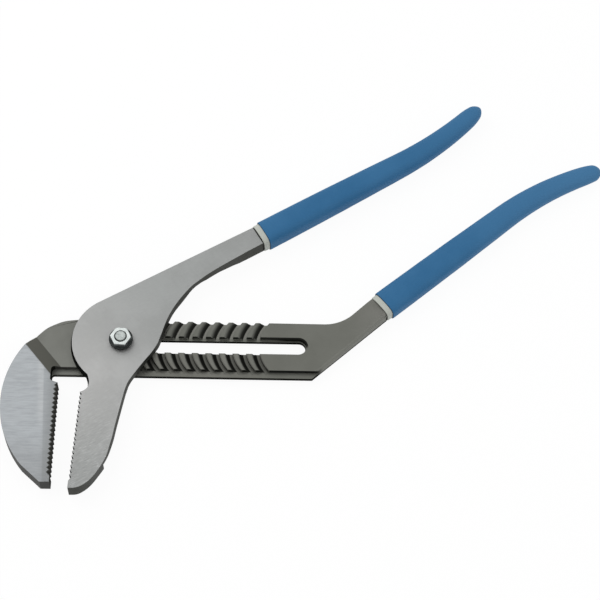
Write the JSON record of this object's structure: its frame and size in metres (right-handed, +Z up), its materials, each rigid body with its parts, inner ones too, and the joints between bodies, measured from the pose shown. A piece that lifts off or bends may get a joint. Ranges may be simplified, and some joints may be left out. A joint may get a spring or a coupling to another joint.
{
  "type": "water pump pliers",
  "caption": "Tongue-and-groove water pump pliers: a fixed jaw on a slotted, grooved shank, a pivoting jaw arm on a sliding bolt, and dipped handle grips.",
  "frame": {"origin": "where the pivot axis meets the underside of the bolt head, which rests on the table", "axes": "+X along the slot towards the handles, +Y towards the upper handle, +Z up along the pivot axis to the nut"},
  "size_m": [0.4703, 0.3468, 0.0257],
  "materials": {
    "forged_steel": "dark satin forging, brushed on the jaw face",
    "satin_steel": "light satin",
    "bolt_steel": "zinc plated",
    "washer_black": "black oxide",
    "nut_zinc": "bright zinc",
    "liner_cream": "dipped vinyl, first coat",
    "grip_blue": "dipped vinyl, satin"
  },
  "bodies": {
    "slotted_arm": {"slotted_arm": "forged_steel", "lower_grip_liner": "liner_cream", "lower_grip": "grip_blue"},
    "pivot_bolt": {"pivot_bolt": "bolt_steel", "washer": "washer_black", "pivot_nut": "nut_zinc"},
    "pivot_arm": {"pivot_arm": "satin_steel", "upper_grip_liner": "liner_cream", "upper_grip": "grip_blue"}
  },
  "joints": [
    {"name": "slot_slide", "type": "slide", "parent": "slotted_arm", "child": "pivot_bolt", "axis": [1, 0, 0], "range_m": [0, 0.06354]},
    {"name": "jaw_swing", "type": "hinge", "parent": "pivot_bolt", "child": "pivot_arm", "pos_m": [0, 0, 0], "axis": [0, 0, 1], "range_deg": [-5, 78]}
  ]
}
